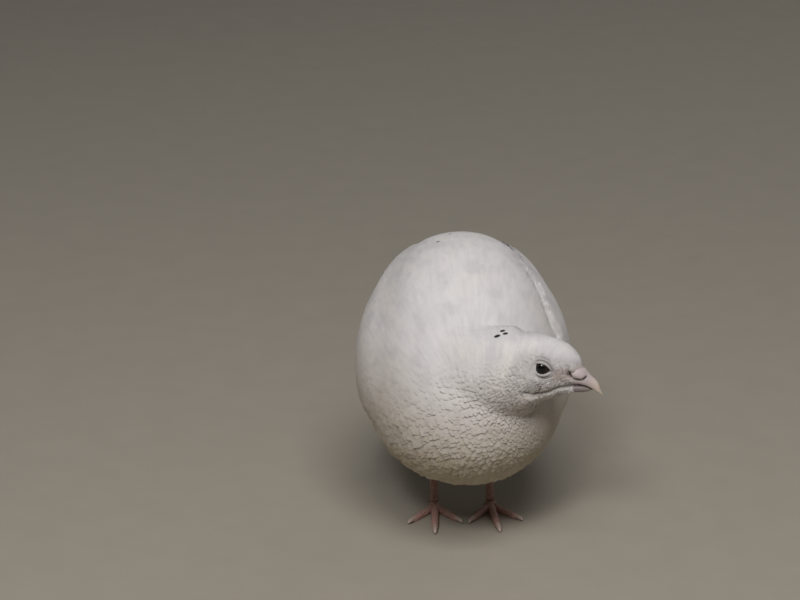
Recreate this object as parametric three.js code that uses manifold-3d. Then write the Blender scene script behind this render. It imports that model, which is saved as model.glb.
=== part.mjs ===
// A white coturnix quail at life size, standing on both feet with its back humped up, its
// head lowered and turned to its own left. Millimetres, +Z up; the bird faces -Y and its
// left side is +X. The flesh is a union of egg-shaped lofts, parted by thin cuts into torso,
// neck, head and tail: the neck ends along the torso's own surface, the rest along planes. The
// folded wings, bill, eyes and legs are bodies of their own, each meeting what it grows from
// face to face across a thin gap.
import * as THREE from "three";
import { mergeVertices } from "three/addons/utils/BufferGeometryUtils.js";
import Module from "manifold-3d";

const wasm = await Module();
wasm.setup();

// Driving dimensions
const GAP = 0.3;
const BODY_LENGTH = 128;
const BODY_HEIGHT = 67;
const BODY_PITCH = 9;
const BODY_LEAN = -1.2;

// Torso sections at even steps from breast to rump: half width, rise above and drop below
// the middle line, and where that line runs. Each is scaled by the sine of its own angle. The
// powers in round, above and below, square a section off when less than one.
const TORSO = {
  wide: [38.5, 42.3, 42.6, 41, 37, 29.5, 20.5],
  rise: [41, 47.5, 54, 58, 54.5, 39, 18],
  drop: [30, 35, 36.5, 34.5, 28.5, 20.5, 14],
  middle: [-7.5, -8, -9, -9, -9, -12.5, -20],
  round: [0.93, 1],
};

// The head is placed by the point midway between the eyes, in a frame with +X to the bill,
// +Y to the bird's left and +Z to the crown. Its sections run from nape to forehead.
const HEAD = {
  place: [27.5, -52.5, 84],
  turn: 74.5,
  nod: 13,
  roll: 0,
  length: 32.6,
  back: -17,
  wide: [14, 14.5, 12.2, 8.9, 8.5, 8.0, 6],
  rise: [10, 10.8, 10.6, 10.2, 11.2, 12.7, 13],
  drop: [12, 19, 23, 17.5, 15.2, 13.6, 13],
  middle: [0, 0, 0, 0, -0.3, -1.2, -2],
  round: [0.94, 0.94],
};
const EYE = { radius: 3.5, forward: 0, side: 5.9, high: 0 };
const LID = { ring: 2.85, wire: 0.75, side: 8.5 };

// Neck: a quarter turn from the front of the torso round to the back of the head.
const NECK = {
  path: [
    [-6, -8, 70],
    [-4, -27, 72],
    [4.5, -41, 74.3],
    [18.5, -49.8, 80.2],
    [23, -51.2, 81.8],
    [28, -52.7, 83],
  ],
  radius: [27, 23.5, 18.7, 15.3, 12.2, 6],
  tall: 1.14,
};
const HEAD_CUT = -8;

// Bill in the head's frame, at even steps from inside the face to the tip: the lines of its top
// and bottom and its half width. The upper half hooks down past the tip of the lower.
const BILL = {
  upper: {
    from: 6, to: 25.1,
    top: [3, 3.1, 3.1, 1.9, -0.3, -2.2, -6.2],
    bottom: [-6.2, -6.3, -5.6, -4.8, -4.9, -5.8, -7],
    wide: [4.4, 4.2, 3.8, 3.1, 2.2, 1.4, 0.5],
  },
  lower: {
    from: 6, to: 20.8,
    top: [-6.5, -6.6, -6, -5.2, -5, -5.5],
    bottom: [-9.6, -9.4, -9, -8.5, -7.5, -6.2],
    wide: [4, 3.9, 3.5, 2.9, 2.2, 1],
  },
};
const NOSTRIL = { at: [13.2, 3.2, -1.9], long: 2.5, high: 0.45, deep: 0.9 };

// Tail: its frame sits at the rump's end with +Y along it. k runs -1 to 1 across each tier.
const TAIL = {
  cut: { at: [0, 50, 58], towards: [0, 0.92, -0.35] },
  place: [0, 50, 64],
  droop: 35,
  sunk: 14,
  root: 26,
  wide: [12, 15.5, 14.5, 11.5, 7.5],
  high: [9, 12.5, 10, 6.5, 2.8],
  roof: 0.03,
  tiers: [
    {
      count: 8, start: 14, long: 30, wide: 3.9, thick: 0.55, fan: 9, spread: 6,
      high: -1.6, lift: 2.2, tilt: 0.75, fall: 1,
    },
    {
      count: 5, start: 11, long: 20, wide: 4.4, thick: 0.6, fan: 9, spread: 7,
      high: 2.8, lift: 1.6, tilt: 0.6, fall: 3,
    },
  ],
};

// Wings lie on the torso's surface, in its angles: along from breast to rump, round from the
// middle of the back. Tiers run from the innermost feather to the outermost.
const WING = {
  along: [55, 140],
  round: [84, 80, 73, 62, 50],
  span: [13, 23, 27, 25, 20],
  thick: [2, 2.4, 1.9, 0.9, 0.4],
  tiers: [
    {
      count: 10, steps: 6, wide: 5.4, high: 0.6, tilt: 1.4, sink: 0, thick: 0.5,
      root: [[88, 86, 82, 80], [46, 66, 82, 95]],
      tip: [[142, 140, 150, 160], [24, 44, 62, 74]],
    },
    {
      count: 7, steps: 4, wide: 5, high: 2.1, tilt: 1.2, sink: 1.2, thick: 0.5,
      root: [[78, 74, 70], [50, 68, 88]],
      tip: [[112, 106, 100], [36, 62, 86]],
    },
  ],
};

const LEG = {
  thigh: { path: [[14, -2, 50], [13.5, 2, 35], [12.5, 7, 19]], radius: [13, 11, 4] },
  shank: {
    path: [[12.3, 11.5, 32], [12, 9.5, 24], [11.6, 0, 9], [11.5, -5, 3]],
    radius: [2.3, 2, 1.6, 1.9],
  },
  foot: [11.5, -5.5],
  pad: { wide: 3, tall: 2, high: 1.3 },
  toes: [
    { turn: 4, long: 21, radius: 1.5, claw: 3.6 },
    { turn: -34, long: 15, radius: 1.4, claw: 3.2 },
    { turn: 40, long: 15.5, radius: 1.4, claw: 3.2 },
    { turn: 176, long: 8, radius: 1.2, claw: 2.6 },
  ],
};

const rad = THREE.MathUtils.degToRad;
const { clamp, lerp } = THREE.MathUtils;
const vec = (p) => new THREE.Vector3(...p);

// Smooth value through evenly spaced stations, t from 0 to 1 (Catmull-Rom).
function through(values, t) {
  const last = values.length - 1;
  const place = clamp(t, 0, 1) * last;
  const i = Math.min(Math.floor(place), last - 1);
  const f = place - i;
  const [a, b, c, d] = [i - 1, i, i + 1, i + 2].map((k) => values[clamp(k, 0, last)]);
  const curve = (2 * a - 5 * b + 4 * c - d) * f * f + (3 * b - a - 3 * c + d) * f ** 3;
  return 0.5 * (2 * b + (c - a) * f + curve);
}

// Surface of an egg: along is the angle from its first pole, round the angle from its top.
function eggPoint(egg, halfLength, along, round, grow = 0) {
  const t = along / Math.PI;
  const ring = Math.sin(along);
  const [side, high] = [Math.sin(round), Math.cos(round)];
  const reach = (high > 0 ? through(egg.rise, t) : through(egg.drop, t)) + grow;
  const full = egg.round[high > 0 ? 0 : 1];
  return new THREE.Vector3(
    (through(egg.wide, t) + grow) * ring * Math.sign(side) * Math.abs(side) ** full,
    -(halfLength + grow) * Math.cos(along),
    reach * ring * Math.sign(high) * Math.abs(high) ** full + through(egg.middle, t),
  );
}

const torsoFrame = new THREE.Matrix4()
  .makeTranslation(0, 0, BODY_HEIGHT)
  .multiply(new THREE.Matrix4().makeRotationY(rad(BODY_LEAN)))
  .multiply(new THREE.Matrix4().makeRotationX(rad(BODY_PITCH)));
function torsoPoint(along, round, grow = 0) {
  return eggPoint(TORSO, BODY_LENGTH / 2, along, round, grow).applyMatrix4(torsoFrame);
}

const headFrame = new THREE.Matrix4()
  .makeTranslation(...HEAD.place)
  .multiply(new THREE.Matrix4().makeRotationZ(rad(HEAD.turn - 90)))
  .multiply(new THREE.Matrix4().makeRotationY(rad(HEAD.nod)))
  .multiply(new THREE.Matrix4().makeRotationX(rad(HEAD.roll)));
const inHead = (x, y, z) => new THREE.Vector3(x, y, z).applyMatrix4(headFrame);
function headPoint(along, round, grow = 0) {
  const p = eggPoint(HEAD, HEAD.length / 2, along, round, grow);
  return inHead(HEAD.back + HEAD.length / 2 + p.y, p.x, p.z);
}

// Point at a height above the torso's surface, along its outward normal.
function onTorso(along, round, height) {
  const step = 1e-3;
  const here = torsoPoint(along, round);
  const back = torsoPoint(along + step, round).sub(here);
  const side = torsoPoint(along, round + step).sub(here);
  return here.addScaledVector(side.cross(back).normalize(), height);
}

// Closed surface from rings of points, with a pole at each end.
function loft(pointAt, rings, sides) {
  const points = [pointAt(0, 0)];
  for (let i = 1; i < rings; i++)
    for (let j = 0; j < sides; j++) points.push(pointAt(i / rings, (j / sides) * 2 * Math.PI));
  points.push(pointAt(1, 0));
  const index = [];
  const at = (i, j) => 1 + (i - 1) * sides + (j % sides);
  for (let j = 0; j < sides; j++) {
    index.push(0, at(1, j), at(1, j + 1));
    index.push(points.length - 1, at(rings - 1, j + 1), at(rings - 1, j));
    for (let i = 1; i < rings - 1; i++) {
      index.push(at(i, j), at(i + 1, j), at(i + 1, j + 1));
      index.push(at(i, j), at(i + 1, j + 1), at(i, j + 1));
    }
  }
  return new THREE.BufferGeometry().setFromPoints(points).setIndex(index);
}

// Closed plate between an outer and an inner face, each a grid of points at (u, v, face),
// u from 0 to 1, v from -1 to 1, both faces split into triangles alike.
function plate(pointAt, long, wide) {
  const points = [];
  const index = [];
  const at = (face, i, j) => (face * (long + 1) + i) * (wide + 1) + j;
  const quad = (a, b, c, d) => index.push(a, b, c, a, c, d);
  for (const face of [0, 1])
    for (let i = 0; i <= long; i++)
      for (let j = 0; j <= wide; j++) points.push(pointAt(i / long, (2 * j) / wide - 1, face));
  for (let i = 0; i < long; i++) {
    for (let j = 0; j < wide; j++) {
      const corners = [[i, j], [i + 1, j], [i + 1, j + 1], [i, j + 1]];
      quad(...corners.map(([a, b]) => at(0, a, b)));
      const [a, b, c, d] = corners.map(([p, q]) => at(1, p, q));
      index.push(a, c, b, a, d, c);
    }
    quad(at(1, i, 0), at(1, i + 1, 0), at(0, i + 1, 0), at(0, i, 0));
    quad(at(0, i, wide), at(0, i + 1, wide), at(1, i + 1, wide), at(1, i, wide));
  }
  for (let j = 0; j < wide; j++) {
    quad(at(0, 0, j), at(0, 0, j + 1), at(1, 0, j + 1), at(1, 0, j));
    quad(at(1, long, j), at(1, long, j + 1), at(0, long, j + 1), at(0, long, j));
  }
  return new THREE.BufferGeometry().setFromPoints(points).setIndex(index);
}

// A three.js geometry as a solid that can be joined and cut, and back again.
function solid(geometry, matrix = new THREE.Matrix4()) {
  const plain = geometry.clone().applyMatrix4(matrix);
  plain.deleteAttribute("normal");
  plain.deleteAttribute("uv");
  const merged = mergeVertices(plain, 1e-4);
  const mesh = {
    numProp: 3,
    vertProperties: merged.attributes.position.array,
    triVerts: new Uint32Array(merged.index.array),
  };
  const made = new wasm.Manifold(new wasm.Mesh(mesh));
  if (made.volume() > 0) return made;
  mesh.triVerts.reverse();
  return new wasm.Manifold(new wasm.Mesh(mesh));
}
function geometryOf(body) {
  const mesh = body.getMesh();
  const geometry = new THREE.BufferGeometry();
  geometry.setAttribute("position", new THREE.BufferAttribute(mesh.vertProperties, 3));
  geometry.setIndex(new THREE.BufferAttribute(mesh.triVerts, 1));
  return geometry;
}
const joined = (bodies) => bodies.reduce((all, next) => all.add(next));
const largest = (body) => body.decompose().sort((a, b) => b.volume() - a.volume())[0];

// A big block whose near face is a plane through a point, shifted along the plane's normal.
function beyond(point, normal, shift = 0) {
  const size = 400;
  const ahead = vec(normal).normalize();
  const turn = new THREE.Quaternion().setFromUnitVectors(new THREE.Vector3(0, 0, 1), ahead);
  const middle = vec(point).addScaledVector(ahead, size / 2 + shift);
  const place = new THREE.Matrix4().compose(middle, turn, new THREE.Vector3(1, 1, 1));
  return solid(new THREE.BoxGeometry(size, size, size), place);
}

// Tube of changing radius along a smooth path, rounded off to a pole at each end.
function tube(path, radii, rings, sides, { grow = 0, tall = 1, blunt = 14 } = {}) {
  const curve = new THREE.CatmullRomCurve3(path.map(vec));
  const up = new THREE.Vector3(0, 0, 1);
  return loft(
    (t, angle) => {
      const ahead = curve.getTangent(t);
      const side = new THREE.Vector3().crossVectors(ahead, up).normalize();
      const top = new THREE.Vector3().crossVectors(side, ahead).normalize();
      const end = Math.sqrt(Math.max(0, 1 - Math.abs(2 * t - 1) ** blunt));
      const radius = (through(radii, t) + grow) * end;
      return curve
        .getPoint(t)
        .addScaledVector(side, radius * Math.sin(angle))
        .addScaledVector(top, radius * tall * Math.cos(angle));
    },
    rings,
    sides,
  );
}

// Looks
const material = (color, roughness = 0.8) =>
  new THREE.MeshStandardMaterial({ color, roughness, metalness: 0 });
const plumage = material(0xe6e1dc);
const vanes = material(0xece8e2, 0.7);
const horn = material(0xd9b9b4, 0.45);
const skin = material(0xdcae9c, 0.6);
const eyeball = material(0x14100e, 0.08);

const bird = new THREE.Group();
function add(name, body, look) {
  const mesh = new THREE.Mesh(geometryOf(largest(body)), look);
  mesh.name = name;
  bird.add(mesh);
}

// Eyes, and the sockets and lids that the head has for them
const sides = { left: 1, right: -1 };
const eyeAt = (hand) => inHead(EYE.forward, hand * EYE.side, EYE.high);
function eyeBall(hand, grow = 0) {
  const ball = new THREE.SphereGeometry(EYE.radius + grow, 14, 8);
  return solid(ball, new THREE.Matrix4().makeTranslation(...eyeAt(hand)));
}
function lid(hand) {
  const ring = new THREE.TorusGeometry(LID.ring, LID.wire, 5, 14);
  const place = new THREE.Matrix4()
    .makeTranslation(EYE.forward, hand * LID.side, EYE.high)
    .multiply(new THREE.Matrix4().makeRotationX(rad(90)));
  return solid(ring, headFrame.clone().multiply(place));
}
for (const [name, hand] of Object.entries(sides)) add(`eye_${name}`, eyeBall(hand), eyeball);

// Bill halves, each flat along the mouth, and the slit of a nostril under its flap
function billHalf(half, grow = 0) {
  return solid(
    loft(
      (t, angle) => {
        const x = lerp(half.from - grow, half.to + grow, t);
        const [top, bottom] = [through(half.top, t) + grow, through(half.bottom, t) - grow];
        const end = Math.min(1, Math.sqrt(t * 12), Math.sqrt((1 - t) * 9));
        const high = Math.cos(angle);
        const wide = (through(half.wide, t) + grow) * end * Math.sin(angle);
        const flat = half === BILL.upper ? high : -high;
        const rise = flat > 0 ? flat : -Math.sqrt(-flat);
        const reach = ((half === BILL.upper ? rise : -rise) * end + 1) / 2;
        return inHead(x, wide, lerp(bottom, top, reach));
      },
      10,
      12,
    ),
  );
}
function nostril(hand) {
  const slit = new THREE.SphereGeometry(1, 10, 6);
  const place = new THREE.Matrix4().compose(
    vec([NOSTRIL.at[0], NOSTRIL.at[1] * hand, NOSTRIL.at[2]]),
    new THREE.Quaternion().setFromAxisAngle(new THREE.Vector3(0, 1, 0), 0.35),
    vec([NOSTRIL.long, NOSTRIL.deep, NOSTRIL.high]),
  );
  return solid(slit, headFrame.clone().multiply(place));
}
add("bill_upper", billHalf(BILL.upper).subtract(nostril(1)).subtract(nostril(-1)), horn);
add("bill_lower", billHalf(BILL.lower).subtract(billHalf(BILL.upper, GAP)), horn);

// Flesh: torso egg, neck tube, head egg and tail root, fitted into one another
const torsoEgg = (grow = 0) => solid(loft((t, a) => torsoPoint(t * Math.PI, a, grow), 26, 28));
const headEgg = (grow = 0) => solid(loft((t, a) => headPoint(t * Math.PI, a, grow), 15, 18));
const neckTube = () => solid(tube(NECK.path, NECK.radius, 12, 24, { tall: NECK.tall }));
const headSide = (shift) => {
  const at = inHead(HEAD_CUT, 0, 0);
  return beyond(at.toArray(), inHead(HEAD_CUT + 1, 0, 0).sub(at).toArray(), shift);
};
const reach = neckTube().subtract(torsoEgg(GAP));
const neck = reach.subtract(headSide(-GAP / 2));
let head = joined([headEgg(), reach]).intersect(headSide(GAP / 2));
head = joined([head, lid(1), lid(-1)]).subtract(torsoEgg(GAP));
head = head.subtract(joined([eyeBall(1, GAP), eyeBall(-1, GAP)]));
head = head.subtract(joined([billHalf(BILL.upper, GAP), billHalf(BILL.lower, GAP)]));
add("neck", neck, plumage);
add("head", head, plumage);

// Tail: a flattened root, and quills fanned in tiers that taper to rounded tips
const tailFrame = new THREE.Matrix4()
  .makeTranslation(...TAIL.place)
  .multiply(new THREE.Matrix4().makeRotationX(rad(-TAIL.droop)));
const inTail = (x, y, z) => new THREE.Vector3(x, y, z).applyMatrix4(tailFrame);
function tailRoot(grow = 0) {
  return solid(
    loft(
      (t, angle) => {
        const [wide, high] = [through(TAIL.wide, t) + grow, through(TAIL.high, t) + grow];
        const end = Math.sqrt(1 - Math.abs(2 * t - 1) ** 10);
        const y = lerp(-TAIL.sunk - grow, TAIL.root + grow, t);
        return inTail(wide * end * Math.sin(angle), y, high * end * Math.cos(angle));
      },
      10,
      14,
    ),
  );
}
// One quill: u runs from root to tip, v across; width is full, then rounds off at the tip.
const quillWidth = (u) => Math.sqrt(1 - u ** 5) * lerp(0.75, 1, Math.sin(Math.PI * u));
function tailQuill(tier, k) {
  const fan = rad(tier.fan * k);
  const long = tier.long * (1 - 0.16 * k * k);
  return solid(
    plate(
      (u, v, face) => {
        const across = v * tier.wide * Math.max(0.12, quillWidth(u));
        const out = tier.start + long * u;
        const x = tier.spread * k + Math.sin(fan) * out + Math.cos(fan) * across;
        const y = Math.cos(fan) * out - Math.sin(fan) * across;
        const shingle = tier.lift * (1 - Math.abs(k)) - Math.sign(k) * v * tier.tilt;
        const roof = -TAIL.roof * x * x - tier.fall * u * u;
        return inTail(x, y, tier.high + shingle + roof + (face ? -tier.thick : tier.thick) / 2);
      },
      5,
      2,
    ),
  );
}
const tierQuills = (tier) =>
  Array.from({ length: tier.count }, (_, i) => tailQuill(tier, (2 * i) / (tier.count - 1) - 1));
const tailSide = (shift) => beyond(TAIL.cut.at, TAIL.cut.towards, shift);
const rump = joined([torsoEgg(), tailRoot()]);
const tail = joined([rump, ...TAIL.tiers.flatMap(tierQuills)]).intersect(tailSide(GAP / 2));
add("tail", tail, vanes);

// Wings: a thin body lying along the torso's side, and feathers in shingled tiers on it
const onWing = (p) => [rad(lerp(...WING.along, p)), rad(through(WING.round, p))];
function wingBody() {
  return solid(
    plate(
      (u, v, face) => {
        const [along, middle] = onWing(u);
        const edge = Math.sqrt(Math.max(0, 1 - Math.abs(2 * u - 1) ** 3));
        const round = middle + v * rad(through(WING.span, u)) * Math.max(0.15, edge);
        const swell = Math.max(0, 1 - v * v) ** 0.7 * Math.max(0.12, edge);
        return onTorso(along, round, face ? GAP : GAP + 0.6 + through(WING.thick, u) * swell);
      },
      12,
      6,
    ),
  );
}
function wingQuill(tier, k) {
  const [root, tip] = [tier.root, tier.tip].map(([along, round]) => [
    rad(through(along, k)),
    rad(through(round, k)),
  ]);
  const aim = onTorso(...tip, 0).sub(onTorso(...root, 0));
  return solid(
    plate(
      (u, v, face) => {
        const along = lerp(root[0], tip[0], u);
        const round = lerp(root[1], tip[1], u);
        const step = 1e-3;
        const here = onTorso(along, round, 0);
        const back = onTorso(along + step, round, 0).sub(here).divideScalar(step);
        const down = onTorso(along, round + step, 0).sub(here).divideScalar(step);
        const side = back.clone().cross(down).cross(aim).normalize();
        const reach = v * tier.wide * Math.max(0.15, quillWidth(u));
        const dAlong = (reach * side.dot(back)) / back.lengthSq();
        const dRound = (reach * side.dot(down)) / down.lengthSq();
        const lay = tier.high + tier.tilt * (v + 1) * 0.5 - tier.sink * (1 - u) ** 2;
        return onTorso(along + dAlong, round + dRound, lay + (face ? 0 : tier.thick));
      },
      tier.steps,
      2,
    ),
  );
}
const mirror = torsoFrame
  .clone()
  .multiply(new THREE.Matrix4().makeScale(-1, 1, 1))
  .multiply(torsoFrame.clone().invert());
const leftWing = joined([
  wingBody(),
  ...WING.tiers.flatMap((tier) =>
    Array.from({ length: tier.count }, (_, i) => wingQuill(tier, i / (tier.count - 1))),
  ),
]);
const wingOf = { left: leftWing, right: solid(geometryOf(leftWing), mirror) };
for (const name of Object.keys(sides)) add(`wing_${name}`, wingOf[name], vanes);

// Legs: a feathered thigh against the belly, a bare shank, and a foot of four toes
const mirrored = (p, hand) => [p[0] * hand, p[1], p[2]];
const thigh = (hand, grow = 0) =>
  solid(tube(LEG.thigh.path.map((p) => mirrored(p, hand)), LEG.thigh.radius, 8, 14, { grow }));
const shank = (hand, grow = 0) =>
  solid(tube(LEG.shank.path.map((p) => mirrored(p, hand)), LEG.shank.radius, 8, 10, { grow }));
function toe(hand, { turn, long, radius, claw }) {
  const [x, y] = LEG.foot;
  const aim = rad(turn) * hand;
  const out = (d, z) => [x * hand + Math.sin(aim) * d, y - Math.cos(aim) * d, z];
  const arch = [0, 0.35, 0.7, 1].map((d) => out(long * d, radius * (d === 0 ? 1.1 : 0.75)));
  const nail = [
    out(long - 2.5, radius * 0.9),
    out(long + claw * 0.5, radius * 0.95),
    out(long + claw, radius * 0.45),
  ];
  const girth = [radius * 1.15, radius, radius * 0.95, radius * 0.8];
  const flesh = tube(arch, girth, 6, 8, { blunt: 10 });
  const horned = tube(nail, [radius * 0.75, radius * 0.6, radius * 0.25], 4, 6);
  return [solid(flesh), solid(horned)];
}
const floor = beyond([0, 0, 0], [0, 0, 1]);
function foot(hand) {
  const pad = new THREE.SphereGeometry(1, 10, 6);
  const place = new THREE.Matrix4().compose(
    new THREE.Vector3(LEG.foot[0] * hand, LEG.foot[1], LEG.pad.high),
    new THREE.Quaternion(),
    new THREE.Vector3(LEG.pad.wide, LEG.pad.wide, LEG.pad.tall),
  );
  return joined([solid(pad, place), ...LEG.toes.flatMap((one) => toe(hand, one))])
    .intersect(floor)
    .subtract(shank(hand, GAP));
}
let torso = rump.subtract(tailSide(-GAP / 2));
for (const [name, hand] of Object.entries(sides)) {
  add(`thigh_${name}`, thigh(hand).subtract(torsoEgg(GAP)).subtract(shank(hand, GAP)), plumage);
  add(`shank_${name}`, shank(hand), skin);
  add(`foot_${name}`, foot(hand), skin);
  torso = torso.subtract(shank(hand, GAP));
}
add("torso", torso, plumage);

const box = new THREE.Box3().setFromObject(bird);
const middle = box.getCenter(new THREE.Vector3());
bird.position.set(-middle.x, -middle.y, 0);

export default bird;
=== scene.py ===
import bpy
import numpy as np
from mathutils import Matrix, Vector
from mathutils.bvhtree import BVHTree
from mathutils.kdtree import KDTree


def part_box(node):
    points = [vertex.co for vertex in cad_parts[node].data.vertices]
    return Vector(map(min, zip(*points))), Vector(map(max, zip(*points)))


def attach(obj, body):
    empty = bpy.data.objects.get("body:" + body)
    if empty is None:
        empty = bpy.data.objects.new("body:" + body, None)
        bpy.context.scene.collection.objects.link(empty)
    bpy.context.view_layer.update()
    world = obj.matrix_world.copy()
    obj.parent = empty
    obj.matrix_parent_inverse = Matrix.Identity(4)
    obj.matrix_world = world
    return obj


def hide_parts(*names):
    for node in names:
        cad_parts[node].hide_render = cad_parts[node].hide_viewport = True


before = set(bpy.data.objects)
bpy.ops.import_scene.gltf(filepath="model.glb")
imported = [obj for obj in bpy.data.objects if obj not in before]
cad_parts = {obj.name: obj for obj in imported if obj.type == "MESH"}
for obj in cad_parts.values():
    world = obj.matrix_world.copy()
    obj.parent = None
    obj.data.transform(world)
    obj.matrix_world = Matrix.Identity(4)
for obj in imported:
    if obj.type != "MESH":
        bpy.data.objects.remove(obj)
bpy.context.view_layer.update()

# Flesh and skin
# The body under the feathers: breast, back, neck, head, rump, the fleshy front of each folded
# wing and the thighs, in one unbroken skin. It is lofted from the bird's sections, drawn in by
# the depth of the coat, fused into one closed sheet and smoothed over the joins.
TORSO = {
    "half": 64,
    "wide": [38.5, 42.3, 42.6, 41, 37, 29.5, 20.5],
    "rise": [41, 47.5, 54, 58, 54.5, 39, 18],
    "drop": [30, 35, 36.5, 34.5, 28.5, 20.5, 14],
    "middle": [-7.5, -8, -9, -9, -9, -12.5, -20],
    "full": (0.93, 1),
}
TORSO_AT = np.array([0, 0, 67])
HEAD = {
    "half": 16.3,
    "wide": [14, 14.5, 12.2, 8.9, 8.5, 8.0, 6],
    "rise": [10, 10.8, 10.6, 10.2, 11.2, 12.7, 13],
    "drop": [12, 19, 23, 17.5, 15.2, 13.6, 13],
    "middle": [0, 0, 0, 0, -0.3, -1.2, -2],
    "full": (0.94, 0.94),
}
HEAD_AT = np.array([27.5, -52.5, 84])
HEAD_BACK = -17
NECK_PATH = [
    [-6, -8, 70], [-4, -27, 72], [4.5, -41, 74.3],
    [18.5, -49.8, 80.2], [23, -51.2, 81.8], [28, -52.7, 83],
]
NECK_RADIUS = [27, 23.5, 18.7, 15.3, 11.5, 6]
NECK_TALL = 1.14
TAIL_AT = np.array([0, 50, 64])
TAIL_ROOT = {"sunk": 14, "long": 24, "wide": [12, 15.5, 14.5, 11.5, 7.5], "high": [9, 12.5, 9.2, 5, 1.2]}
THIGH = {"path": [[14, -2, 50], [13.5, 2, 35], [12.5, 7, 19]], "radius": [13, 11, 4]}
WING = {
    "along": (55, 140),
    "round": [84, 80, 73, 62, 50],
    "span": [20, 28, 30, 27, 20],
    "thick": [2.6, 3.6, 3.4, 1.2, -1],
    "sunk": 3,
}
CHIN = {
    "path": [[5, 0, -7.3], [10, 0, -7.6], [13.6, 0, -7.2], [15.8, 0, -6.6]],
    "radius": [4.4, 4.4, 3.5, 1.6],
    "tall": 0.46,
}
BROW = {"path": [[6, 0, 4.1], [10.5, 0, 2.9], [14, 0, 0.6], [17, 0, -0.7]], "radius": [4.6, 3.8, 2.1, 0.8]}
COAT_DEPTH = {"body": 1, "neck": 0.8, "head": 0.45, "rump": 0.8, "thigh": 0.8}
GAPE = [[15.4, -4.9], [12.2, -5.4], [9, -6.2], [6.7, -7.8], [3.9, -10.1], [0.4, -10.9], [-3.1, -10.2]]
CREASE = {"deep": 1.1, "half": 0.7, "left_end": 6}
LORES = {"at": (8.6, -0.9), "long": 5.2, "high": 3, "tilt": 8}
FLAP = {"at": (13.8, 0.4), "long": 3.1, "high": 2.35, "tilt": -14, "swell": 0.95, "slit": 0.55, "sunk": 2.6}
FOLD = {
    "path": [[28.9, -3.1, 104.3], [33, -10.9, 97.7], [35.6, -18.2, 89.3], [37.5, -19.5, 82]],
    "behind": [0, 0.77, -0.63],
    "high": 0.9,
    "reach": 6,
}
EYE_HOLLOW = {"deep": 0.7, "flat": 3.4, "rim": 5.2, "beyond": 4}
SMOOTH_CHEEK = {"at": [-4, -11, -3], "size": [7, 13, 12], "share": 0.9, "rounds": 90}
FACE = {"reach": 24, "half": 12, "middle_strip": 1.6}
SIDES = {"left": 1, "right": -1}
STEP = 1e-3
FAR_AWAY = 99.0


def turn(axis, degrees):
    """Rotation about one axis: the cosine and sine of the angle in the plane of the other two."""
    c, s = np.cos(np.radians(degrees)), np.sin(np.radians(degrees))
    i, j = {"x": (1, 2), "y": (2, 0), "z": (0, 1)}[axis]
    matrix = np.eye(3)
    matrix[i, i] = matrix[j, j] = c
    matrix[i, j], matrix[j, i] = -s, s
    return matrix


TORSO_TURN = turn("y", -1.2) @ turn("x", 9)
HEAD_TURN = turn("z", 74.5 - 90) @ turn("y", 13)
TAIL_TURN = turn("x", -35)


def in_head(points):
    """Points given in the head's frame (bill +X, left +Y, crown +Z), turned and set in the bird's."""
    return np.asarray(points, float) @ HEAD_TURN.T + HEAD_AT


def from_head(points):
    """Head's x, y and z of points in the bird's frame, and their distance from the head's middle."""
    p = (points - HEAD_AT) @ HEAD_TURN
    return (*p.T, length(p))


def through(stations, t):
    """Smooth value through evenly spaced stations, t from 0 to 1: a Catmull-Rom cubic between two."""
    s = np.asarray(stations, float)
    t = np.asarray(t, float)
    place = np.clip(t, 0, 1) * (len(s) - 1)
    i = np.minimum(place.astype(int), len(s) - 2)
    f = place - i
    a, b, c, d = (s[np.clip(i + k, 0, len(s) - 1)] for k in (-1, 0, 1, 2))
    if s.ndim > 1:
        f = f[..., None]
    curve = (2 * a - 5 * b + 4 * c - d) * f**2 + (3 * b - a - 3 * c + d) * f**3
    return 0.5 * (2 * b + (c - a) * f + curve)


def length(vectors):
    """Length of each vector."""
    return np.linalg.norm(vectors, axis=-1)


def unit(vectors):
    """The vectors divided by their own lengths."""
    return vectors / np.maximum(length(vectors), 1e-9)[..., None]


def smooth_step(value, low, high):
    """0 below low, 1 above high, and the cubic 3t^2 - 2t^3 between."""
    t = np.clip((value - low) / (high - low), 0, 1)
    return t * t * (3 - 2 * t)


def bell(value, width):
    """The bell curve exp(-(value / width)^2)."""
    return np.exp(-((value / width) ** 2))


def egg(shape, along, around, grow=0.0):
    """Point of an egg: y is minus the cosine of along; x and z are the sine and cosine of around,
    raised to the section's power, times the sine of along and the half width, rise or drop there."""
    t = along / np.pi
    side, high = np.sin(around), np.cos(around)
    up = high > 0
    reach = np.where(up, through(shape["rise"], t), through(shape["drop"], t)) + grow
    power = np.where(up, *shape["full"])
    x = (through(shape["wide"], t) + grow) * np.sign(side) * np.abs(side) ** power
    z = reach * np.sign(high) * np.abs(high) ** power
    ring = np.sin(along)
    y = -(shape["half"] + grow) * np.cos(along)
    return np.stack([x * ring, y, z * ring + through(shape["middle"], t)], -1)


def torso_point(along, around, grow=0.0):
    """The torso's egg in the bird's frame."""
    return egg(TORSO, along, around, grow) @ TORSO_TURN.T + TORSO_AT


def head_point(along, around, grow=0.0):
    """The head's egg, its own length laid along the head's X axis, in the bird's frame."""
    p = egg(HEAD, along, around, grow)
    return in_head(np.stack([HEAD_BACK + HEAD["half"] + p[..., 1], p[..., 0], p[..., 2]], -1))


def on_torso(along, around, height):
    """Point at a height over the torso's egg: its surface point plus that much of the normal, the
    cross product of the two small steps along the surface."""
    here = torso_point(along, around)
    back = torso_point(along + STEP, around) - here
    side = torso_point(along, around + STEP) - here
    return here + unit(np.cross(side, back)) * np.asarray(height)[..., None]


def grid(stations, sides):
    """t from 0 to 1 down the rows and an angle once round across the columns."""
    angle = np.linspace(0, 2 * np.pi, sides, endpoint=False)
    return np.meshgrid(np.linspace(0, 1, stations), angle, indexing="ij")


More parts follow.
